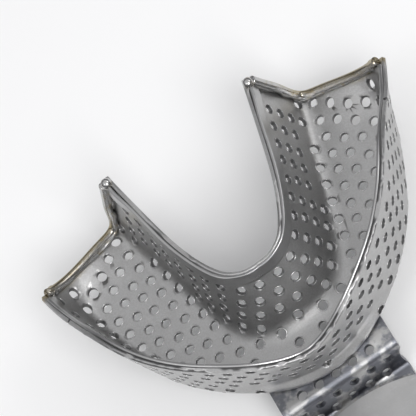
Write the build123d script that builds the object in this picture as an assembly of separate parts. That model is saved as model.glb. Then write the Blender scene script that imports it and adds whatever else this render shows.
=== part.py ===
"""Perforated metal impression tray: a horseshoe trough of punched sheet, with rims, heel beads and a fixed handle.

+X runs across the arch, +Y from the handle towards the heels, +Z out of the trough's open top. The trough is
drawn about the middle of its floor's sheet, and every node is then moved so that the origin is under the middle
of the whole instrument, level with its lowest face. All lengths are in millimetres.
"""
import math
import os

from build123d import *

# ---- overall sizes -------------------------------------------------------------------------------------
TRAY_WIDTH = 80.0        # over the two outer heel corners
TRAY_LENGTH = 53.6       # middle of the front rim to the inner heel tips
TRAY_HEIGHT = 19.8       # floor to the highest point of the outer flange
HANDLE_REACH = 46.0      # bottom of the front wall to the handle's tip
HANDLE_WIDTH = 24.0

# ---- sheet, rims and beads ------------------------------------------------------------------------------
SHEET = 0.8              # thickness of the punched sheet
CREASE_ROUND = 3.0       # tangent length of the bend between inner flange and floor
CORNER_ROUND = 2.4       # tangent length of the bend between floor and outer flange
RIM_WIDTH = 2.6          # stiffening band along both flange edges
RIM_THICK = 0.7
BEAD_DIA = 1.7           # round wire along each heel
BRAZE_FIT = 0.02         # gap kept between flat brazed surfaces
BAND_FIT = 0.05          # gap behind the rim bands, which follow a curved flange
BEAD_FIT = 0.16          # gap under the heel beads, which cross the trough's bend

# ---- perforation ----------------------------------------------------------------------------------------
HOLE_DIA = 2.0
HOLE_PITCH = 3.75        # hexagonal, centre to centre
EDGE_MARGIN = 1.3        # from a flange's edge to the nearest hole centre
ARM_TURN = 19.0          # degrees by which the pattern turns towards each heel

# ---- handle ---------------------------------------------------------------------------------------------
ROOT_WIDTH = 25.0        # root plate where it lies under the trough
NECK_WIDTH = 22.8        # root plate on the step
ROOT_LAP = 8.0           # length of root plate under the floor
PLATE = 1.0              # thickness of the root plate
DROP = 6.6               # height of the step down to the handle
STEP_SLOPE = 78.0        # degrees of the step from level
STEP_BEND = 1.6          # bend radius of the step, middle of the plate
STEP_FROM_WALL = 0.6     # front wall's foot to where the root plate starts to bend
HANDLE_PLATE = 1.2
HANDLE_GAP = 0.2         # lower bend to the handle plate's edge, at the middle
EDGE_ARCH = 2.4          # by which that edge falls back at its ends
HANDLE_LAP = 4.6         # length over which the handle lies on the root plate's tongue
ROOT_ROWS = 3            # rows of holes in the root plate that stay open
ROOT_FIRST_ROW = 0.4     # first row, back from where the plate starts to bend
HANG_HOLE_DIA = 5.0
HANG_HOLE_SET = 8.7      # handle plate's edge to the hole's centre
TIP_ROUND = 9.0
BRAZE_BEAD = 0.8         # filler metal along the handle plate's edge

# ---- shape of the trough, right half --------------------------------------------------------------------
# Each station is one upright cut through the wall, square to the trough, from the middle of the front to
# beyond the heel: crease point x and y, the cut's bearing from -Y, then within the cut the inner flange's
# lean and height, the floor's width and rise, the press-in above the toe, the outer rim's reach and height.
STATIONS = [
    (0.0, -6.0, 0.0, 8.3, 13.3, 12.0, 0.0, 1.6, 12.9, 14.0),
    (4.5, -5.5, 14.0, 8.1, 13.5, 11.6, 0.0, 1.5, 12.4, 16.0),
    (8.6, -3.4, 32.0, 7.6, 13.9, 11.3, 0.0, 0.8, 12.2, 18.1),
    (11.3, 0.2, 50.0, 6.4, 14.3, 12.5, 0.0, 0.2, 13.8, 19.2),
    (13.4, 5.6, 64.0, 5.2, 14.8, 14.7, 0.0, 0.0, 16.3, 19.8),
    (15.5, 12.5, 71.0, 4.6, 15.3, 16.1, 0.2, 0.0, 17.9, 18.2),
    (17.4, 19.5, 72.5, 4.7, 15.6, 16.9, 0.6, 0.0, 19.1, 14.6),
    (19.4, 25.7, 71.0, 5.3, 15.8, 16.2, 1.5, 0.0, 19.5, 11.4),
    (21.2, 31.4, 70.0, 5.9, 15.8, 13.6, 4.4, 0.0, 19.6, 9.1),
    (22.9, 36.6, 69.5, 6.4, 15.8, 12.2, 4.4, 0.0, 19.6, 7.0),
]
FRONT_PRESS = 1.6        # by which the front wall is pressed in above its toe
ARM_TOE_HEIGHT = 5.5     # height at which the arms' lower bend has ended
TOE_HEIGHT = 2.2         # height of the toe's crease above the floor
HEEL_BEND = (22.2, 33.8)     # plan points of the cut heel, right side
HEEL_TIP = (16.7, 34.6)
HEEL_CORNER = (39.9, 25.0)

SCALE_X = TRAY_WIDTH / 80.0
SCALE_Y = TRAY_LENGTH / 53.6
SCALE_Z = TRAY_HEIGHT / 19.8


def unit(a, z):
    """Direction in a cut, as a pair of length one."""
    length = math.hypot(a, z)
    return a / length, z / length


class Cut:
    """One upright cut through the wall, with its corner points and its place in space."""

    def __init__(self, station, side):
        x, y, bearing, lean, inner_high, floor, rise, press, reach, outer_high = station
        turn = math.radians(bearing)
        self.origin = Vector(side * x * SCALE_X, y * SCALE_Y, 0)
        out = Vector(side * math.sin(turn) * SCALE_X, -math.cos(turn) * SCALE_Y, 0)
        self.stretch = out.length
        self.out = out.normalized()
        toe_high = TOE_HEIGHT + (ARM_TOE_HEIGHT - TOE_HEIGHT) * max(0.0, 1.0 - press / FRONT_PRESS)
        toe_high = min(toe_high, 0.55 * (outer_high - rise))
        share = toe_high / (outer_high - rise)
        toe = floor + share * (reach - floor) - press
        self.corners = [
            (-lean * self.stretch, inner_high * SCALE_Z),
            (0.0, 0.0),
            (floor * self.stretch, rise * SCALE_Z),
            (toe * self.stretch, (rise + toe_high) * SCALE_Z),
            (reach * self.stretch, outer_high * SCALE_Z),
        ]
        # the front's lower bend is a tight fold, and the arms' is a soft one
        run = math.dist(self.corners[2], self.corners[3])
        self.rounds = [CREASE_ROUND, min(CORNER_ROUND, 0.5 * run), 0.3 * run]

    def place(self, a, z):
        """Point in space for a point of the cut."""
        return self.origin + self.out * a + Vector(0, 0, z)

    def side_points(self, offset):
        """Corner and tangent points of the sheet's face that lies offset from its middle.

        Each run between corners is shifted square to itself, and each corner goes to the mitre.
        """
        runs = [unit(b[0] - a[0], b[1] - a[1]) for a, b in zip(self.corners, self.corners[1:])]
        normals = [(-r[1], r[0]) for r in runs]
        points = [self.shift(self.corners[0], normals[0], offset)]
        for i, tangent in enumerate(self.rounds):
            before, after, corner = normals[i], normals[i + 1], self.corners[i + 1]
            blend = 1.0 + before[0] * after[0] + before[1] * after[1]
            mitre = ((before[0] + after[0]) / blend, (before[1] + after[1]) / blend)
            start = (corner[0] - runs[i][0] * tangent, corner[1] - runs[i][1] * tangent)
            end = (corner[0] + runs[i + 1][0] * tangent, corner[1] + runs[i + 1][1] * tangent)
            points.append(self.shift(start, before, offset))
            points.append(self.shift(corner, mitre, offset))
            points.append(self.shift(end, after, offset))
        points.append(self.shift(self.corners[-1], normals[-1], offset))
        return points

    @staticmethod
    def shift(point, normal, offset):
        """Point moved by offset along a normal."""
        return point[0] + normal[0] * offset, point[1] + normal[1] * offset

    def walk(self, distance, offset=0.0):
        """Point of the cut at a developed distance outwards from the crease, and the sheet's normal there.

        Negative distances run up the inner flange. The point is moved by offset along the normal.
        """
        points = self.side_points(0.0)
        path = [points[0]]
        for i in range(0, 9, 3):
            a, b, c = points[i + 1:i + 4]
            for k in range(9):
                f = k / 8
                u, v, w = (1 - f) ** 2, 2 * f * (1 - f), f * f
                path.append((u * a[0] + v * b[0] + w * c[0], u * a[1] + v * b[1] + w * c[1]))
        path.append(points[-1])
        runs = [math.dist(p, q) for p, q in zip(path, path[1:])]
        middle = sum(runs[:5])
        left = distance + middle
        for p, q, run in zip(path, path[1:], runs):
            if left <= run or q is path[-1]:
                break
            left -= run
        along = unit(q[0] - p[0], q[1] - p[1])
        point = (p[0] + along[0] * left, p[1] + along[1] * left)
        normal = (-along[1], along[0])
        return self.shift(point, normal, offset), normal

    def reach(self):
        """Developed distances of the inner and the outer edge from the crease."""
        points = self.side_points(0.0)
        inner = math.dist(points[0], points[2]) - 0.4
        outer = math.dist(points[2], points[5]) + math.dist(points[5], points[-1]) - 0.6
        return -inner, outer

    def sheet_wire(self):
        """Closed outline of the sheet's thickness in this cut."""
        edges = []
        sides = [self.side_points(SHEET / 2), self.side_points(-SHEET / 2)]
        for points in sides:
            spots = [self.place(*p) for p in points]
            for i in range(0, 9, 3):
                edges.append(Line(spots[i], spots[i + 1]))
                edges.append(Bezier(*spots[i + 1:i + 4]))
            edges.append(Line(spots[9], spots[10]))
        for end in (0, -1):
            edges.append(Line(self.place(*sides[0][end]), self.place(*sides[1][end])))
        return Wire(edges)

    def rim_wire(self, outer):
        """Closed outline of the rim band, which lies inside the trough along a flange's edge."""
        ends = (self.corners[-1], self.corners[-2]) if outer else (self.corners[0], self.corners[1])
        down = unit(ends[1][0] - ends[0][0], ends[1][1] - ends[0][1])
        inwards = (down[1], -down[0]) if outer else (-down[1], down[0])
        near = self.shift(ends[0], inwards, SHEET / 2 + BAND_FIT)
        far = self.shift(near, inwards, RIM_THICK)
        low = self.shift(near, down, RIM_WIDTH)
        low_far = self.shift(self.shift(far, down, RIM_WIDTH), unit(*[-c for c in down]), 0.4)
        ring = [near, low, low_far, far]
        spots = [self.place(*p) for p in ring]
        return Wire([Line(p, q) for p, q in zip(spots, spots[1:] + spots[:1])])


def station_at(t):
    """Station at any t along the right half, on the smooth curve through the chosen ones.

    Whole numbers of t are the chosen stations, from 0 at the middle of the front.
    """
    mirror = [-STATIONS[1][0], STATIONS[1][1], -STATIONS[1][2], *STATIONS[1][3:]]
    beyond = [2 * q - p for p, q in zip(STATIONS[-2], STATIONS[-1])]
    run = [mirror, *STATIONS, beyond]
    k = min(int(t), len(STATIONS) - 2)
    f = t - k
    weights = [(-f + 2 * f**2 - f**3) / 2, 1 + (3 * f**3 - 5 * f**2) / 2,
               (f + 4 * f**2 - 3 * f**3) / 2, (f**3 - f**2) / 2]
    return tuple(sum(w * p for w, p in zip(weights, four)) for four in zip(*run[k:k + 4]))


LAST = len(STATIONS) - 1


def cuts(steps=2):
    """Cuts of the right half, from the middle of the front to beyond the heel."""
    return [Cut(station_at(i / steps), 1) for i in range(LAST * steps + 1)]


def whole_round(steps=2):
    """Cuts from the left heel round the front to the right heel."""
    left = [Cut(station_at(i / steps), -1) for i in range(LAST * steps, 0, -1)]
    return left + cuts(steps)


def scaled(point):
    """Plan point at the chosen overall size."""
    return point[0] * SCALE_X, point[1] * SCALE_Y


def heel_line(inset):
    """Plan outline of everything in front of the two cut heels, moved in by inset."""
    bend, tip, corner = scaled(HEEL_BEND), scaled(HEEL_TIP), scaled(HEEL_CORNER)
    far = (corner[0] + (corner[0] - bend[0]), corner[1] + (corner[1] - bend[1]))
    inner = (tip[0] - (bend[0] - tip[0]) * 1.2, tip[1] - (bend[1] - tip[1]) * 1.2)
    right = [(p[0], p[1] - inset) for p in (inner, bend, far)]
    left = [(-p[0], p[1]) for p in reversed(right)]
    back = 60.0 * SCALE_Y
    return left + right + [(far[0], -back), (-far[0], -back)]


def in_front_of_heels(inset=0.0):
    """Tall block that keeps what is in front of the cut heels."""
    face = make_face(Polyline(*heel_line(inset), close=True))
    return Pos(0, 0, -20) * extrude(face, 80)


def both_sides(right):
    """A right-hand solid joined with its mirror image."""
    return right + mirror(right, about=Plane.YZ)



def heel_gap(point, inset):
    """How far a point lies behind the right-hand heel cut, along Y."""
    bend, tip, corner = scaled(HEEL_BEND), scaled(HEEL_TIP), scaled(HEEL_CORNER)
    a, b = (tip, bend) if point.X < bend[0] else (bend, corner)
    line = a[1] + (point.X - a[0]) * (b[1] - a[1]) / (b[0] - a[0]) - inset
    return point.Y - line


def heel_point(share, offset, inset):
    """Point of the right-hand heel cut at a share of the way from the inner to the outer flange's edge."""
    before = None
    for i in range(LAST * 8 + 1):
        cut = Cut(station_at(i / 8), 1)
        low, high = cut.reach()
        point = cut.place(*cut.walk(low + (high - low) * share, offset)[0])
        gap = heel_gap(point, inset)
        if before and gap > 0:
            f = before[1] / (before[1] - gap)
            return before[0] + (point - before[0]) * f
        before = (point, gap)
    return point


def heel_bead():
    """Round wire brazed along the right-hand heel, on the trough's side of the sheet."""
    lift = SHEET / 2 + BEAD_DIA / 2 + BEAD_FIT
    shares = [0.02, 0.12, 0.22, 0.46, 0.56, 0.70, 0.85, 0.98]
    path = Spline(*[heel_point(s, lift, BEAD_DIA / 2 + 0.1) for s in shares])
    return sweep(Plane(path @ 0, z_dir=path % 0) * Circle(BEAD_DIA / 2), path=path)


class Panel:
    """Rows of holes over one part of the right half, as pairs of station and developed distance."""

    def __init__(self):
        self.fine = [Cut(station_at(i / 12), 1) for i in range(LAST * 12 + 1)]

    def flange_rows(self, first, last, outer):
        """Staggered rows that follow a flange, each row spaced along its own length."""
        rows = []
        pitch = HOLE_PITCH * math.sqrt(3) / 2
        count = int((last - first) / pitch) + 1
        for row in range(count):
            points = []
            for cut in self.fine:
                low, high = cut.reach()
                corner = math.dist(cut.corners[1], cut.corners[2])
                at = corner + first + row * pitch if outer else -(first + row * pitch)
                inside = low + EDGE_MARGIN < at < high - EDGE_MARGIN
                points.append((cut, at) if inside else None)
            rows.append(self.spaced(points, row % 2))
        return [hole for row in rows for hole in row]

    @staticmethod
    def spaced(points, half):
        """Holes one pitch apart along a row, which starts at the middle or half a pitch from it."""
        holes, run, due, before = [], 0.0, HOLE_PITCH / 2 if half else 0.0, None
        for item in points:
            if item is None:
                before = None
                run, due = run + 3.0, max(due, run + 3.0)
                continue
            (flat, normal) = item[0].walk(item[1])
            here = item[0].place(*flat)
            run += (here - before).length if before else 0.0
            if run >= due:
                holes.append(item)
                due += HOLE_PITCH
            before = here
        return holes

    def floor_rows(self):
        """Holes of the floor, on a flat pattern that turns towards the heel by ARM_TURN."""
        holes = []
        pitch = HOLE_PITCH * math.sqrt(3) / 2
        for row in range(-6, 16):
            for column in range(0, 16):
                u = (column + (row % 2) / 2) * HOLE_PITCH
                v = row * pitch + 0.6
                turn = math.radians(ARM_TURN) * min(u / 12.0, 1.0)
                bent = min(u, 12.0)
                x = bent * math.cos(turn / 2) + max(u - 12.0, 0) * math.cos(turn) - v * math.sin(turn)
                y = bent * math.sin(turn / 2) + max(u - 12.0, 0) * math.sin(turn) + v * math.cos(turn)
                found = self.over(Vector(x * SCALE_X, y * SCALE_Y, 0))
                if found:
                    holes.append(found)
        return holes

    def over(self, point):
        """Cut and developed distance of a plan point, where it is over the floor's flat."""
        before = None
        for cut in self.fine:
            gap = point - cut.origin
            ahead = gap.X * -cut.out.Y + gap.Y * cut.out.X
            if before is not None and ahead <= 0 < before:
                at = gap.dot(cut.out)
                floor = math.dist(cut.corners[1], cut.corners[2])
                return (cut, at) if -0.3 < at < floor + 0.6 else None
            before = ahead
        return None


def hole_list():
    """Centres and directions of the right half's holes, no two closer than a pitch allows."""
    panel = Panel()
    cells = panel.floor_rows()
    cells += panel.flange_rows(1.7, 20.0, False) + panel.flange_rows(1.9, 20.0, True)
    kept = []
    for cut, at in cells:
        flat, normal = cut.walk(at)
        centre = cut.place(*flat)
        direction = cut.out * normal[0] + Vector(0, 0, normal[1])
        if centre.X < -0.01 or heel_gap(centre, BEAD_DIA + 0.6) > 0:
            continue
        if all((centre - other).length > HOLE_PITCH * 0.8 for other, _ in kept):
            if centre.X < 0.1 or centre.X > HOLE_PITCH * 0.4:
                kept.append((centre, direction))
    return kept


def perforations():
    """Punch cylinders of both halves."""
    tools = []
    for centre, direction in hole_list():
        for side in (1, -1) if centre.X > 0.1 else (1,):
            way = Vector(side * direction.X, direction.Y, direction.Z)
            foot = Vector(side * centre.X, centre.Y, centre.Z) - way * SHEET
            tools.append(Solid.make_cylinder(HOLE_DIA / 2, 2 * SHEET, Plane(foot, z_dir=way)))
    return tools


FOOT = STATIONS[0][1] - STATIONS[0][5]         # the front wall's foot, along Y at nominal size


def step_profile():
    """Middle line of the root plate in side view, as points and bends, from under the floor outwards."""
    slope = math.radians(STEP_SLOPE)
    tangent = STEP_BEND * math.tan(slope / 2)
    top = -(SHEET + PLATE) / 2 - BRAZE_FIT
    start = FOOT * SCALE_Y - STEP_FROM_WALL
    upper = (start - tangent, top)
    lower = (upper[0] - DROP / math.tan(slope), top - DROP)
    return [(FOOT * SCALE_Y + ROOT_LAP, top), upper, lower, (lower[0] - tangent, lower[1])]


def handle_edge():
    """Where the handle plate's edge stands at the middle, and the height of the tongue's top."""
    end, level = step_profile()[-1]
    return end - HANDLE_GAP, level + PLATE / 2


def root_plate():
    """Perforated plate that steps down from the floor to the handle, narrowed at the step."""
    points = step_profile()
    tongue = (handle_edge()[0] - HANDLE_LAP, points[-1][1])
    line = FilletPolyline(points[0], points[1], points[2], tongue, radius=STEP_BEND)
    side = make_face(offset(line, PLATE / 2, kind=Kind.INTERSECTION).edges())
    plate = extrude(Plane.YZ * side, ROOT_WIDTH / 2, both=True)
    high, low = points[0][1] - PLATE, points[-1][1] - PLATE
    waist = (high + low) / 2
    half, neck = ROOT_WIDTH / 2, NECK_WIDTH / 2
    outline = [
        Line((0, high + 2 * PLATE), (half, high + 2 * PLATE)),
        Line((half, high + 2 * PLATE), (half, high)),
        RadiusArc((half, high), (neck, waist), (waist - high) * 1.3),
        Line((neck, waist), (neck + 0.4, low)),
        Line((neck + 0.4, low), (0, low)),
        Line((0, low), (0, high + 2 * PLATE)),
    ]
    right = extrude(Plane.XZ * make_face(outline), 60 * SCALE_Y)
    return (plate & both_sides(right)).cut(*root_holes())


def root_holes():
    """Punch cylinders of the root plate, in staggered rows across it that follow its bends."""
    points = step_profile()
    line = FilletPolyline(*points[:3], (handle_edge()[0] + HANDLE_GAP / 2, points[-1][1]), radius=STEP_BEND)
    start = points[0][0] - (FOOT * SCALE_Y - STEP_FROM_WALL) - ROOT_FIRST_ROW
    pitch = HOLE_PITCH * math.sqrt(3) / 2
    tools = []
    for row in range(ROOT_ROWS):
        share = (start + row * pitch) / line.length
        spot, along = line @ share, line % share
        shift = 0.5 * (row % 2)
        reach = (ROOT_WIDTH if row == 0 else NECK_WIDTH) / 2 - HOLE_DIA
        for column in range(-4, 5):
            x = (column + shift) * HOLE_PITCH
            if abs(x) <= reach:
                way = Vector(0, -along.Y, along.X)
                foot = Vector(x, spot.X, spot.Y) - way * PLATE
                tools.append(Solid.make_cylinder(HOLE_DIA / 2, 2 * PLATE, Plane(foot, z_dir=way)))
    return tools


def handle_plate():
    """Smooth plate with a rounded tip and a hanging hole, brazed on the root plate's tongue."""
    edge, level = handle_edge()
    tip = FOOT * SCALE_Y - HANDLE_REACH
    half = HANDLE_WIDTH / 2
    outline = [
        ThreePointArc((-half, edge - EDGE_ARCH), (0, edge), (half, edge - EDGE_ARCH)),
        Line((half, edge - EDGE_ARCH), (half, tip + TIP_ROUND)),
        TangentArc((half, tip + TIP_ROUND), (half - TIP_ROUND, tip), tangent=(0, -1)),
        Line((half - TIP_ROUND, tip), (TIP_ROUND - half, tip)),
        TangentArc((TIP_ROUND - half, tip), (-half, tip + TIP_ROUND), tangent=(-1, 0)),
        Line((-half, tip + TIP_ROUND), (-half, edge - EDGE_ARCH)),
    ]
    plate = extrude(Pos(0, 0, level + BRAZE_FIT) * make_face(outline), HANDLE_PLATE)
    hole = Pos(0, edge - HANG_HOLE_SET, level) * Cylinder(HANG_HOLE_DIA / 2, 4 * HANDLE_PLATE)
    return plate - hole


def braze_bead(root, plate):
    """Filler metal along the handle plate's edge, on the root plate's tongue."""
    edge, level = handle_edge()
    half = NECK_WIDTH / 2
    near, far = edge + BRAZE_BEAD, edge + BRAZE_FIT
    outline = [
        ThreePointArc((-half, far - EDGE_ARCH), (0, far), (half, far - EDGE_ARCH)),
        Line((half, far - EDGE_ARCH), (half, near - EDGE_ARCH)),
        ThreePointArc((half, near - EDGE_ARCH), (0, near), (-half, near - EDGE_ARCH)),
        Line((-half, near - EDGE_ARCH), (-half, far - EDGE_ARCH)),
    ]
    bead = extrude(Pos(0, 0, level + BRAZE_FIT) * make_face(outline), BRAZE_BEAD)
    return bead - root - plate


def main():
    """Build every node and write it."""
    sheet = Solid.make_loft([c.sheet_wire() for c in whole_round(1)]) & in_front_of_heels()
    nodes = {"tray_body": sheet.cut(*perforations())}
    for name, outer in (("outer_rim", True), ("inner_rim", False)):
        half = Solid.make_loft([c.rim_wire(outer) for c in cuts(1)]) & in_front_of_heels(BEAD_DIA + 0.2)
        nodes[name] = both_sides(half)
    nodes["heel_bead_right"] = heel_bead()
    nodes["heel_bead_left"] = mirror(nodes["heel_bead_right"], about=Plane.YZ)
    nodes["handle_root"] = root_plate()
    nodes["handle"] = handle_plate()
    nodes["handle_braze"] = braze_bead(nodes["handle_root"], nodes["handle"])
    box = Compound(list(nodes.values())).bounding_box()
    home = Pos(0, -(box.min.Y + box.max.Y) / 2, -box.min.Z)
    os.makedirs("parts", exist_ok=True)
    for name, solid in nodes.items():
        export_step(home * solid, f"parts/{name}.step")


main()
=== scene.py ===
"""Impression tray: punched steel trough, rims, heel beads and stepped handle, dressed round its CAD."""
import logging
import math
from dataclasses import dataclass, field
from enum import Enum
from typing import Any, Optional, Sequence

import bmesh
import bpy
import numpy as np
from mathutils import Matrix, Vector


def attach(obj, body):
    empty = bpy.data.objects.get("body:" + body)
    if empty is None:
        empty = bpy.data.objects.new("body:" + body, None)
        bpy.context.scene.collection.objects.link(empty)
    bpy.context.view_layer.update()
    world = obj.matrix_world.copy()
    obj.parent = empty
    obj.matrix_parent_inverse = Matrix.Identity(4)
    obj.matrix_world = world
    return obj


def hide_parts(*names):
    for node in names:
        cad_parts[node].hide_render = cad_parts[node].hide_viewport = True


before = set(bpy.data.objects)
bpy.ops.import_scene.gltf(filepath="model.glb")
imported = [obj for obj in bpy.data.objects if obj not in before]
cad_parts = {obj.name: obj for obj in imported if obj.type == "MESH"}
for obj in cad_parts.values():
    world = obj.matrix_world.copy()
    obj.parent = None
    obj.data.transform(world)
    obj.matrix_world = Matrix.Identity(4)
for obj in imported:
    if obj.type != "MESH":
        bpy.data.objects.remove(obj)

LOG = logging.getLogger("impression_tray")
MM = 0.001
MERGE = 0.001 * MM           # distance within which the CAD's loose corners are one
SHARP = math.radians(38)     # turn above which two faces meet in an edge
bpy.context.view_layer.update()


class Side(Enum):
    """Which arm of the tray a piece belongs to."""

    LEFT = -1
    RIGHT = 1


# ---------------------------------------------------------------------------------------------- shader maths


class Sock:
    """A shader value that can be used in Python expressions, which add Math nodes."""

    def __init__(self, graph: "Graph", link: Any) -> None:
        """Keep the graph and the output socket or number."""
        self.graph = graph
        self.link = link

    def _math(self, operation: str, *values: Any) -> "Sock":
        """Add one Math node.

        Args:
            operation: the Math node's operation.
            values: its inputs, as Socks or numbers.

        Returns:
            The node's result.
        """
        return self.graph.node("ShaderNodeMath", {"operation": operation}, dict(enumerate(values)))

    def __add__(self, other: Any) -> "Sock":
        """Sum."""
        return self._math("ADD", self, other)

    def __radd__(self, other: Any) -> "Sock":
        """Sum with a number on the left."""
        return self._math("ADD", other, self)

    def __sub__(self, other: Any) -> "Sock":
        """Difference."""
        return self._math("SUBTRACT", self, other)

    def __rsub__(self, other: Any) -> "Sock":
        """Difference from a number on the left."""
        return self._math("SUBTRACT", other, self)

    def __mul__(self, other: Any) -> "Sock":
        """Product."""
        return self._math("MULTIPLY", self, other)

    def __rmul__(self, other: Any) -> "Sock":
        """Product with a number on the left."""
        return self._math("MULTIPLY", other, self)

    def size(self) -> "Sock":
        """Value without its sign."""
        return self._math("ABSOLUTE", self)

    def ramp(self, low: float, high: float) -> "Sock":
        """Smooth step from 0 at low to 1 at high."""
        return self.graph.node(
            "ShaderNodeMapRange",
            {"interpolation_type": "SMOOTHSTEP"},
            {"Value": self, "From Min": low, "From Max": high},
        )


class Graph:
    """One material's node tree, built by calls."""

    def __init__(self, name: str) -> None:
        """Start an empty material with an output."""
        self.material = bpy.data.materials.new(name)
        self.material.use_nodes = True
        self.tree = self.material.node_tree
        self.tree.nodes.clear()

    def node(self, kind: str, settings: dict[str, Any], inputs: dict[Any, Any], out: Any = 0) -> Sock:
        """Add one node.

        Args:
            kind: the node's type.
            settings: properties that are set first.
            inputs: sockets by name or number, as Socks or plain values.
            out: the output wanted, by name or number.

        Returns:
            The output as a Sock.
        """
        made = self.tree.nodes.new(kind)
        for key, value in settings.items():
            setattr(made, key, value)
        for key, value in inputs.items():
            if isinstance(value, Sock):
                self.tree.links.new(value.link, made.inputs[key])
            else:
                made.inputs[key].default_value = value
        return Sock(self, made.outputs[out])

    def place(self) -> Sock:
        """The piece's own coordinates, in metres."""
        return self.node("ShaderNodeTexCoord", {}, {}, "Object")

    def axes(self) -> tuple[Sock, Sock, Sock]:
        """The three coordinates as separate values."""
        split = self.node("ShaderNodeSeparateXYZ", {}, {0: self.place()})
        outs = split.link.node.outputs
        return Sock(self, outs[0]), Sock(self, outs[1]), Sock(self, outs[2])

    def noise(self, per_metre: float, detail: float = 3.0, stretch: Optional[Sequence[float]] = None) -> Sock:
        """Cloud noise.

        Args:
            per_metre: its frequency.
            detail: octaves of finer noise.
            stretch: scale of each axis, for grain that runs one way.

        Returns:
            Values around a half.
        """
        where = self.place()
        if stretch is not None:
            where = self.node("ShaderNodeMapping", {}, {"Vector": where, "Scale": tuple(stretch)})
        inputs = {"Vector": where, "Scale": per_metre, "Detail": detail, "Roughness": 0.6}
        return self.node("ShaderNodeTexNoise", {}, inputs)

    def mix(self, factor: Sock, low: Any, high: Any) -> Sock:
        """Colour between low and high, both as RGBA or Socks."""
        made = self.tree.nodes.new("ShaderNodeMix")
        made.data_type = "RGBA"
        for index, value in ((0, factor), (6, low), (7, high)):
            if isinstance(value, Sock):
                self.tree.links.new(value.link, made.inputs[index])
            else:
                made.inputs[index].default_value = value
        return Sock(self, made.outputs[2])

    def finish(self, metallic: float, color: Sock, rough: Sock, normal: Sock) -> bpy.types.Material:
        """Close the tree with a metal shader.

        Args:
            metallic: how metallic the surface is.
            color: base colour.
            rough: roughness.
            normal: bumped normal.

        Returns:
            The material.
        """
        shader = self.node(
            "ShaderNodeBsdfPrincipled",
            {},
            {"Base Color": color, "Roughness": rough, "Metallic": metallic, "Normal": normal},
        )
        self.node_output(shader)
        return self.material

    def node_output(self, shader: Sock) -> None:
        """Join a shader to the material's surface."""
        made = self.tree.nodes.new("ShaderNodeOutputMaterial")
        self.tree.links.new(shader.link, made.inputs[0])

    def bump(self, height: Sock, strength: float, depth: float) -> Sock:
        """Normal bumped by a height of the given depth in metres."""
        return self.node(
            "ShaderNodeBump", {}, {"Strength": strength, "Distance": depth, "Height": height}
        )


def grey(level: float, warm: float = 0.0) -> tuple[float, float, float, float]:
    """Grey colour, with warm moving it from blue to yellow."""
    return (level * (1 + warm), level, level * (1 - warm), 1.0)


@dataclass(frozen=True)
class Steel:
    """Stainless steel finish, from satin sheet to polished wire.

    Attributes:
        name: the material's name.
        tone: lightness of the metal.
        rough: middle roughness.
        grain: how strongly the fine grain shows.
        dent: how strongly the surface waves.
        stain: share of brass-coloured braze tint over the whole piece.
        heel_tint: whether the tint gathers at the cut heels.
        dark: lightness multiplier of the dark bluish patches: painted dark reflection on the root plate,
            darker blotches on the braze filler.
        dark_share: how much of the piece the dark bluish patches cover.
    """

    name: str
    tone: float
    rough: float
    grain: float = 0.12
    dent: float = 0.10
    stain: float = 0.0
    heel_tint: bool = False
    dark: float = 0.6
    dark_share: float = 0.0

    def material(self) -> bpy.types.Material:
        """Metal whose colour and roughness drift, with fine grain, faint scratches and dents.

        The tint's mask is a band along the heel cut, y + 0.5 |x|, broken up by noise.

        Returns:
            The finished material.
        """
        graph = Graph(self.name)
        cloud = graph.noise(180.0)
        fine = graph.noise(5200.0, 4.0)
        scratch = graph.noise(420.0, 5.0, (1.0, 9.0, 3.0)).ramp(0.62, 0.70)
        color = graph.mix(cloud.ramp(0.3, 0.7), grey(self.tone * 0.93), grey(self.tone * 1.05))
        color = graph.mix(scratch * 0.35, color, grey(min(self.tone * 1.25, 0.9)))
        speck = graph.noise(3200.0, 2.0).ramp(0.36, 0.64)
        color = graph.mix(speck * self.grain * 0.9, color, grey(self.tone * 0.72, 0.02))
        if self.dark_share > 0:
            # Dark bluish noise patches: painted dark reflection on the root plate; on the braze filler,
            # darker blotches.
            patch = graph.noise(260.0, 4.0).ramp(0.62 - self.dark_share * 0.4, 0.78 - self.dark_share * 0.4)
            level = self.tone * self.dark
            color = graph.mix(patch, color, (level * 0.92, level * 0.95, level * 1.06, 1.0))
        mask: Optional[Sock] = None
        if self.heel_tint:
            x, y, _ = graph.axes()
            along = y + 0.5 * x.size()
            spread = graph.noise(600.0) * 1.6 * MM
            mask = (along + spread).ramp(HEEL_LINE - 1.4 * MM, HEEL_LINE + 0.6 * MM)
        if self.stain > 0:
            spots = graph.noise(900.0, 4.0).ramp(0.45, 0.72) * self.stain
            mask = spots if mask is None else mask + spots
        if mask is not None:
            color = graph.mix(mask, color, (0.34, 0.29, 0.19, 1.0))
        rough = self.rough + (cloud - 0.5) * 0.10 + (fine - 0.5) * 0.10
        height = fine * self.grain + graph.noise(240.0, 2.0) * self.dent
        normal = graph.bump(height, 0.5, 0.2 * MM)
        return graph.finish(1.0, color, rough, normal)


# ---------------------------------------------------------------------------------------------------- meshes


def new_object(name: str, points: np.ndarray, faces: np.ndarray) -> bpy.types.Object:
    """Mesh object from whole arrays.

    Args:
        name: the piece's name.
        points: vertices, one row each, in metres.
        faces: four indices a row.

    Returns:
        The object, linked to the scene, shaded smooth.
    """
    mesh = bpy.data.meshes.new(name)
    mesh.from_pydata(points.tolist(), [], faces.tolist())
    mesh.polygons.foreach_set("use_smooth", np.ones(len(mesh.polygons), dtype=bool))
    mesh.update()
    made = bpy.data.objects.new(name, mesh)
    bpy.context.scene.collection.objects.link(made)
    return made


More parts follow.
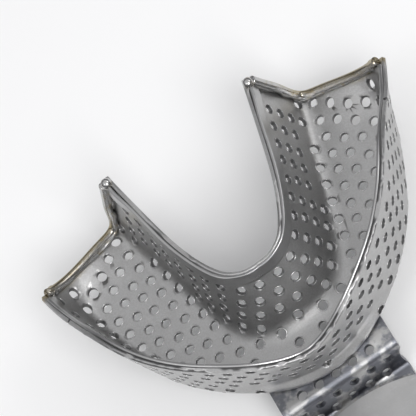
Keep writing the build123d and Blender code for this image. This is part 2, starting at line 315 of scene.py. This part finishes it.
def softened(
    node: str, name: str, width: float, material: bpy.types.Material, segments: int = 2
) -> bpy.types.Object:
    """Copy of a CAD node with merged corners and rounded edges, which stands for it.

    Args:
        node: the CAD node's name.
        name: the new piece's name.
        width: width of the rounding, in metres.
        material: its finish.
        segments: facets across the rounding.

    Returns:
        The new piece, riding on the root body.
    """
    mesh = bpy.data.objects[node].data.copy()
    mesh.name = name
    work = bmesh.new()
    work.from_mesh(mesh)
    bmesh.ops.remove_doubles(work, verts=work.verts, dist=MERGE)
    bmesh.ops.dissolve_degenerate(work, dist=2 * MERGE, edges=work.edges)
    work.to_mesh(mesh)
    work.free()
    mesh.materials.clear()
    mesh.materials.append(material)
    mesh.polygons.foreach_set("use_smooth", np.ones(len(mesh.polygons), dtype=bool))
    mesh.set_sharp_from_angle(angle=SHARP)
    made = bpy.data.objects.new(name, mesh)
    bpy.context.scene.collection.objects.link(made)
    even = made.modifiers.new("even_shade", "WEIGHTED_NORMAL")
    even.keep_sharp = True
    if width > 0:
        bevel = made.modifiers.new("edge", "BEVEL")
        bevel.width, bevel.segments = width, segments
        bevel.limit_method, bevel.angle_limit = "ANGLE", SHARP
        bevel.harden_normals = False
        bevel.use_clamp_overlap = True
    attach(made, "root")
    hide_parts(node)
    return made


def tube(path: np.ndarray, radius: np.ndarray, around: int = 10) -> tuple[np.ndarray, np.ndarray]:
    """Round profile carried along a path.

    Each ring is centre + r (cos a * side + sin a * up), with side square to the path and to Z.

    Args:
        path: centre points, one row each.
        radius: radius at each point.
        around: points in each ring.

    Returns:
        Vertices and four-sided faces, with the ends drawn to a point by zero radii.
    """
    along = np.gradient(path, axis=0)
    along /= np.linalg.norm(along, axis=1, keepdims=True)
    side = np.cross(along, np.array([0.0, 1.0, 0.3]))
    side /= np.linalg.norm(side, axis=1, keepdims=True)
    up = np.cross(side, along)
    angle = np.linspace(0, 2 * math.pi, around, endpoint=False)
    ring = np.cos(angle)[None, :, None] * side[:, None, :] + np.sin(angle)[None, :, None] * up[:, None, :]
    points = (path[:, None, :] + ring * radius[:, None, None]).reshape(-1, 3)
    row, col = np.meshgrid(np.arange(len(path) - 1), np.arange(around), indexing="ij")
    nxt = (col + 1) % around
    here, ahead = row * around, (row + 1) * around
    faces = np.stack([here + col, here + nxt, ahead + nxt, ahead + col], -1)
    return points, faces.reshape(-1, 4)


def punched_walls(piece: bpy.types.Object, wall: float = 5.03e-6, slack: float = 0.4) -> list[np.ndarray]:
    """Face sets of the punched holes' walls: smooth patches whose area is near 2 pi r t.

    Args:
        piece: the merged sheet.
        wall: area of one hole's wall, in square metres.
        slack: share by which a patch may differ.

    Returns:
        One array of face numbers for each hole.
    """
    work = bmesh.new()
    work.from_mesh(piece.data)
    work.faces.ensure_lookup_table()
    seen, found = np.zeros(len(work.faces), dtype=bool), []
    for first in work.faces:
        if seen[first.index]:
            continue
        seen[first.index] = True
        stack, patch = [first], []
        while stack:
            face = stack.pop()
            patch.append(face)
            for edge in face.edges:
                if len(edge.link_faces) == 2 and edge.calc_face_angle(0.0) < SHARP:
                    for near in edge.link_faces:
                        if not seen[near.index]:
                            seen[near.index] = True
                            stack.append(near)
        area = sum(face.calc_area() for face in patch)
        if abs(area / wall - 1) < slack:
            found.append(np.array([face.index for face in patch]))
    work.free()
    return found


def hole_lips(
    piece: bpy.types.Object, walls: list[np.ndarray], thick: float
) -> tuple[np.ndarray, np.ndarray]:
    """Rolled lips on both rims of every hole.

    A hole's axis is the direction in which its wall's vertices spread least. Each rim is the loop
    c + r (cos u * p + sin u * q) + h(u) * axis, with h read off the wall, and carries a round profile.

    Args:
        piece: the sheet.
        walls: the holes' face sets.
        thick: the profile's radius.

    Returns:
        Vertices and four-sided faces of every lip. A wall that isn't round has none.
    """
    flat = np.empty(len(piece.data.vertices) * 3)
    piece.data.vertices.foreach_get("co", flat)
    co = flat.reshape(-1, 3)
    around, ring = 22, 6
    u = np.linspace(0, 2 * math.pi, around, endpoint=False)
    w = np.linspace(0, 2 * math.pi, ring, endpoint=False)
    row, col = np.meshgrid(np.arange(around), np.arange(ring), indexing="ij")
    nr, nc = (row + 1) % around, (col + 1) % ring
    cells = np.stack([row * ring + col, nr * ring + col, nr * ring + nc, row * ring + nc], -1).reshape(-1, 4)
    points, faces = [], []
    for patch in walls:
        verts = np.unique(np.concatenate([np.array(piece.data.polygons[int(f)].vertices) for f in patch]))
        local = co[verts] - co[verts].mean(axis=0)
        axis, p, q = np.linalg.svd(local, full_matrices=False)[2][[2, 0, 1]]
        if np.ptp(np.hypot(local @ p, local @ q)) > 0.3 * MM:
            continue
        high = local @ axis
        for side in (high > 0, high < 0):
            if side.sum() < 6:
                continue
            loop = local[side]
            angle, depth = np.arctan2(loop @ q, loop @ p), loop @ axis
            radius = np.hypot(loop @ p, loop @ q)
            order = np.argsort(angle)
            h = np.interp(u, angle[order], depth[order], period=2 * math.pi)
            r = np.interp(u, angle[order], radius[order], period=2 * math.pi)
            out = np.cos(u)[:, None] * p + np.sin(u)[:, None] * q
            reach = (r[:, None] + thick * np.cos(w))[..., None] * out[:, None, :]
            rise = (h[:, None] + 0.6 * thick * np.sin(w))[..., None] * axis
            faces.append(cells + around * ring * len(points))
            points.append((co[verts].mean(axis=0) + reach + rise).reshape(-1, 3))
    return np.concatenate(points), np.concatenate(faces)


def ellipsoid(
    centre: np.ndarray, radii: Sequence[float], rows: int = 12, around: int = 20
) -> tuple[np.ndarray, np.ndarray]:
    """Closed drop: centre + (a cos u sin v, b sin u sin v, c cos v).

    Args:
        centre: its middle.
        radii: a, b and c.
        rows: rings from pole to pole.
        around: points in each ring.

    Returns:
        Vertices and four-sided faces.
    """
    down = np.linspace(0.02, math.pi - 0.02, rows)
    round_it = np.linspace(0, 2 * math.pi, around, endpoint=False)
    v, u = np.meshgrid(down, round_it, indexing="ij")
    unit = np.stack([np.cos(u) * np.sin(v), np.sin(u) * np.sin(v), np.cos(v)], axis=-1)
    row, col = np.meshgrid(np.arange(rows - 1), np.arange(around), indexing="ij")
    nxt = (col + 1) % around
    here, ahead = row * around, (row + 1) * around
    faces = np.stack([here + col, ahead + col, ahead + nxt, here + nxt], -1)
    return (centre + unit * np.array(radii)).reshape(-1, 3), faces.reshape(-1, 4)


def ripple(count: int, seed: int, size: float) -> np.ndarray:
    """Smooth random wobble: three sines of random phase, their sum scaled to size."""
    random = np.random.default_rng(seed)
    t = np.linspace(0, 1, count)
    waves = [np.sin(2 * math.pi * (f * t + random.random())) / f**0.5 for f in (3.0, 7.0, 15.0)]
    return size * np.sum(waves, axis=0) / 2.0


# -------------------------------------------------------------------------------------------- sub-assemblies

HEEL_LINE = 59.4 * MM    # y + 0.5 |x| along the cut heels


@dataclass
class Trough:
    """Punched and pressed horseshoe trough with its two rim bands."""

    band_edge: float = 0.30 * MM
    sheet: Steel = Steel("punched_sheet", 0.48, 0.38, grain=0.45, heel_tint=True)
    band: Steel = Steel("rim_band", 0.44, 0.30, grain=0.10, dent=0.16, heel_tint=True)
    lip: float = 0.11 * MM
    # Painted shade: the holes' walls get the same steel made much darker, standing in for the shade inside
    # the holes.
    wall: Steel = Steel("hole_wall_painted_shade", 0.22, 0.45)
    rolled: Steel = Steel("hole_lip", 0.50, 0.24, grain=0.05)
    pieces: list[bpy.types.Object] = field(default_factory=list)

    def lips(self, sheet: bpy.types.Object) -> bpy.types.Object:
        """Paint shade into the punched walls with a much darker copy of the steel, and roll both rims of
        every hole.

        Args:
            sheet: the merged sheet.

        Returns:
            The lips as one piece.
        """
        walls = punched_walls(sheet)
        LOG.info("%d punched holes", len(walls))
        # Painted shade: the dark copy of the steel goes on the faces of the punched walls.
        sheet.data.materials.append(self.wall.material())
        index = np.zeros(len(sheet.data.polygons), dtype=np.int32)
        index[np.concatenate(walls)] = 1
        sheet.data.polygons.foreach_set("material_index", index)
        made = new_object("hole_lips", *hole_lips(sheet, walls, self.lip))
        made.data.materials.append(self.rolled.material())
        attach(made, "root")
        return made

    def build(self) -> None:
        """Put smooth-shaded copies in place of the CAD nodes, with rounded bands and rolled holes."""
        sheet = self.sheet.material()
        band = self.band.material()
        self.pieces.append(softened("tray_body", "pressed_sheet", 0.0, sheet))
        self.pieces.append(softened("outer_rim", "outer_rim_band", self.band_edge, band, 3))
        self.pieces.append(softened("inner_rim", "inner_rim_band", self.band_edge, band, 3))
        self.pieces.append(self.lips(self.pieces[0]))


@dataclass
class HeelBead:
    """Wire brazed along one cut heel, with the filler metal that runs beside it."""

    side: Side
    fillet: float = 0.42 * MM
    bin_half: float = 1.1 * MM
    drop: tuple[float, float, float] = (1.15 * MM, 1.2 * MM, 1.25 * MM)
    inner_shift: tuple[float, float, float] = (-0.55, -0.25, 0.2)
    outer_shift: tuple[float, float, float] = (0.35, -0.3, 0.3)
    wire: Steel = Steel("heel_wire", 0.50, 0.20, grain=0.04, dent=0.3, stain=0.5, heel_tint=True)
    filler: Steel = Steel("braze_filler", 0.42, 0.30, grain=0.2, dent=0.5, stain=0.8)
    pieces: list[bpy.types.Object] = field(default_factory=list)

    def middle(self, node: str, count: int = 60) -> np.ndarray:
        """Middle line of the bead: the mean of its vertices in bins of |x| - 0.8 z.

        The two ends are moved out along the line by half a bin.

        Args:
            node: the bead's CAD node.
            count: points wanted.

        Returns:
            Points from the inner tip to the outer corner.
        """
        mesh = bpy.data.objects[node].data
        flat = np.empty(len(mesh.vertices) * 3, dtype=np.float32)
        mesh.vertices.foreach_get("co", flat)
        co = flat.reshape(-1, 3).astype(float)
        key = np.abs(co[:, 0]) - 0.8 * co[:, 2]
        low, high = key.min() + 0.4 * MM, key.max() - 0.4 * MM
        edges = np.linspace(low, high, 15)
        which = np.digitize(key, edges)
        mean = np.array([co[which == k].mean(axis=0) for k in range(1, 15) if np.any(which == k)])
        mean[0] += (mean[0] - mean[1]) / np.linalg.norm(mean[0] - mean[1]) * self.bin_half
        mean[-1] += (mean[-1] - mean[-2]) / np.linalg.norm(mean[-1] - mean[-2]) * self.bin_half
        t = np.linspace(0, len(mean) - 1, count)
        return np.stack([np.interp(t, np.arange(len(mean)), mean[:, k]) for k in range(3)], axis=1)

    def build(self) -> None:
        """Carry the bead over from CAD and lay a wavering fillet along its foot."""
        word = self.side.name.lower()
        node = f"heel_bead_{word}"
        bead = softened(node, f"heel_wire_{word}", 0.0, self.wire.material())
        path = self.middle(node)
        count = len(path)
        foot = path + np.array([-self.side.value * 0.10, -0.62, -0.42]) * MM
        swell = self.fillet * (1 + ripple(count, 5 + self.side.value, 0.5))
        swell[[0, -1]] = 0.0
        fillet = new_object(f"heel_braze_{word}", *tube(foot, swell))
        fillet.data.materials.append(self.filler.material())
        self.pieces += [bead, fillet]
        for end, tip, shift in (("inner", path[0], self.inner_shift), ("outer", path[-1], self.outer_shift)):
            centre = tip + np.array([self.side.value * shift[0], shift[1], shift[2]]) * MM
            drop = new_object(f"heel_drop_{end}_{word}", *ellipsoid(centre, self.drop))
            drop.data.materials.append(bead.data.materials[0])
            self.pieces.append(drop)
        for piece in self.pieces[1:]:
            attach(piece, "root")


@dataclass
class Handle:
    """Root plate that steps down from the trough, the smooth handle plate and its braze."""

    # The root plate's dark bluish patches (dark=0.45 over much of it) are painted dark reflection.
    root: Steel = Steel("root_plate", 0.48, 0.34, grain=0.2, dent=0.5, dark=0.45, dark_share=0.55)
    plate: Steel = Steel("handle_plate", 0.50, 0.40, grain=0.10, dent=0.04)
    braze: Steel = Steel(
        "handle_filler", 0.40, 0.34, grain=0.4, dent=0.8, stain=0.25, dark=0.4, dark_share=0.4
    )
    pieces: list[bpy.types.Object] = field(default_factory=list)

    def build(self) -> None:
        """Round the edges of the plates and of the braze over the step."""
        self.pieces.append(softened("handle_root", "root_step", 0.14 * MM, self.root.material()))
        self.pieces.append(softened("handle", "handle_blade", 0.22 * MM, self.plate.material(), 3))
        self.pieces.append(softened("handle_braze", "handle_seam", 0.20 * MM, self.braze.material()))


@dataclass(frozen=True)
class Studio:
    """Pale floor, soft lights and the camera."""

    floor_size: float = 3.0
    azimuth: float = 15.0
    elevation: float = 58.86
    roll: float = -48.1
    distance: float = 458.0 * MM
    lens: float = 212.5
    shift_right: float = 15.07 * MM
    shift_up: float = -16.39 * MM
    trough_y: float = 14.54 * MM
    trough_z: float = 8.02 * MM

    def floor(self) -> None:
        """Large pale floor under the tray."""
        half = self.floor_size / 2
        points = np.array([[-half, -half, 0], [half, -half, 0], [half, half, 0], [-half, half, 0]])
        made = new_object("studio_floor", points - np.array([0, 0, 0.02 * MM]), np.array([[0, 1, 2, 3]]))
        graph = Graph("studio_floor")
        shader = graph.node("ShaderNodeBsdfDiffuse", {}, {"Color": (0.90, 0.90, 0.90, 1.0)})
        graph.node_output(shader)
        made.data.materials.append(graph.material)

    def lamp(self, name: str, place: Sequence[float], size: float, watts: float) -> None:
        """Square soft lamp aimed at the tray.

        Args:
            name: the lamp's name.
            place: where it hangs, in metres.
            size: its side.
            watts: its power.
        """
        data = bpy.data.lights.new(name, "AREA")
        data.shape, data.size, data.energy = "SQUARE", size, watts
        made = bpy.data.objects.new(name, data)
        bpy.context.scene.collection.objects.link(made)
        made.location = place
        made.rotation_euler = (-Vector(place)).to_track_quat("-Z", "Y").to_euler()

    def sky(self) -> None:
        """Surround that is bright overhead and darker towards the horizon."""
        world = bpy.data.worlds.new("studio")
        bpy.context.scene.world = world
        world.use_nodes = True
        tree = world.node_tree
        where = tree.nodes.new("ShaderNodeTexCoord")
        split = tree.nodes.new("ShaderNodeSeparateXYZ")
        ramp = tree.nodes.new("ShaderNodeValToRGB")
        tree.links.new(where.outputs["Generated"], split.inputs[0])
        tree.links.new(split.outputs[2], ramp.inputs[0])
        stops = ramp.color_ramp.elements
        stops[0].position, stops[0].color = 0.0, (0.20, 0.20, 0.21, 1)
        stops[1].position, stops[1].color = 0.70, (0.78, 0.78, 0.79, 1)
        middle = stops.new(0.30)
        middle.color = (0.12, 0.12, 0.13, 1)
        back = tree.nodes["Background"]
        tree.links.new(ramp.outputs[0], back.inputs[0])
        back.inputs[1].default_value = 1.0

    def camera(self) -> None:
        """Camera at the fitted bearing, elevation and roll."""
        az, el, roll = (math.radians(v) for v in (self.azimuth, self.elevation, self.roll))
        back = np.array([math.sin(az) * math.cos(el), -math.cos(az) * math.cos(el), math.sin(el)])
        level = np.cross(-back, [0, 0, 1.0])
        level /= np.linalg.norm(level)
        upright = np.cross(level, -back)
        right = math.cos(roll) * level + math.sin(roll) * upright
        up = -math.sin(roll) * level + math.cos(roll) * upright
        eye = -self.shift_right * right - self.shift_up * up + self.distance * back
        eye += np.array([0, self.trough_y, self.trough_z])
        data = bpy.data.cameras.new("camera")
        data.sensor_width = 36.0
        data.lens = self.lens
        data.clip_start, data.clip_end = 0.01, 20.0
        made = bpy.data.objects.new("camera", data)
        bpy.context.scene.collection.objects.link(made)
        axes = Matrix([[*row] for row in np.stack([right, up, back], axis=1)]).to_4x4()
        made.matrix_world = Matrix.Translation(Vector(eye)) @ axes
        bpy.context.scene.camera = made

    def build(self) -> None:
        """Set everything up."""
        self.floor()
        self.sky()
        self.lamp("key", (0.3, -0.85, 0.95), 0.6, 9.0)
        self.lamp("front_left", (-0.9, -0.5, 1.5), 0.7, 2.5)
        self.lamp("right", (0.9, 0.1, 0.7), 0.5, 1.5)
        self.camera()
        bpy.context.scene.view_settings.view_transform = "Standard"


def main() -> None:
    """Build every sub-assembly in order, then the studio."""
    for part in (Trough(), HeelBead(Side.LEFT), HeelBead(Side.RIGHT), Handle()):
        part.build()
        for piece in part.pieces:
            LOG.info("%s: %s, %d vertices", type(part).__name__, piece.name, len(piece.data.vertices))
    Studio().build()


if __name__ == "__main__":
    logging.basicConfig(level=logging.INFO, format="%(message)s")
    main()
